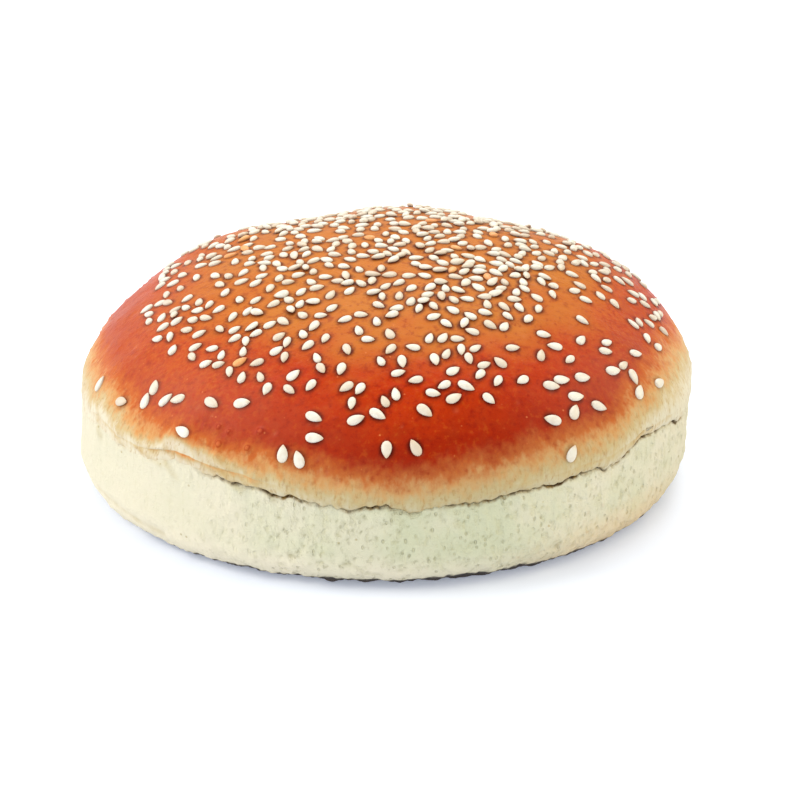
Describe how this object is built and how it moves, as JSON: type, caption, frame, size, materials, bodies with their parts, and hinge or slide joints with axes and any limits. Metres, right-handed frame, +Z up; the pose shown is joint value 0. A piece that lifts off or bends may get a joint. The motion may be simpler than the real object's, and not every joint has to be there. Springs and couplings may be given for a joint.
{
  "type": "sesame seed burger bun",
  "caption": "Round, uncut burger bun: domed baked crust strewn with sesame seeds over a pale, softly bulging side with a wavy torn seam, on a flat base.",
  "frame": {"origin": "middle of the outline, on the plane that the base rests on", "axes": "+Z up through the crown, -Y towards the pictured side, +X to the right of it"},
  "size_m": [0.1056, 0.1062, 0.0413],
  "materials": {
    "baked_crust": "soft bread: glossy egg-washed brown crust above, matte cream side below",
    "sesame_seed": "hulled sesame seeds, smooth and slightly oily"
  },
  "bodies": {
    "root": {"seeded_bun": "baked_crust"}
  },
  "joints": []
}
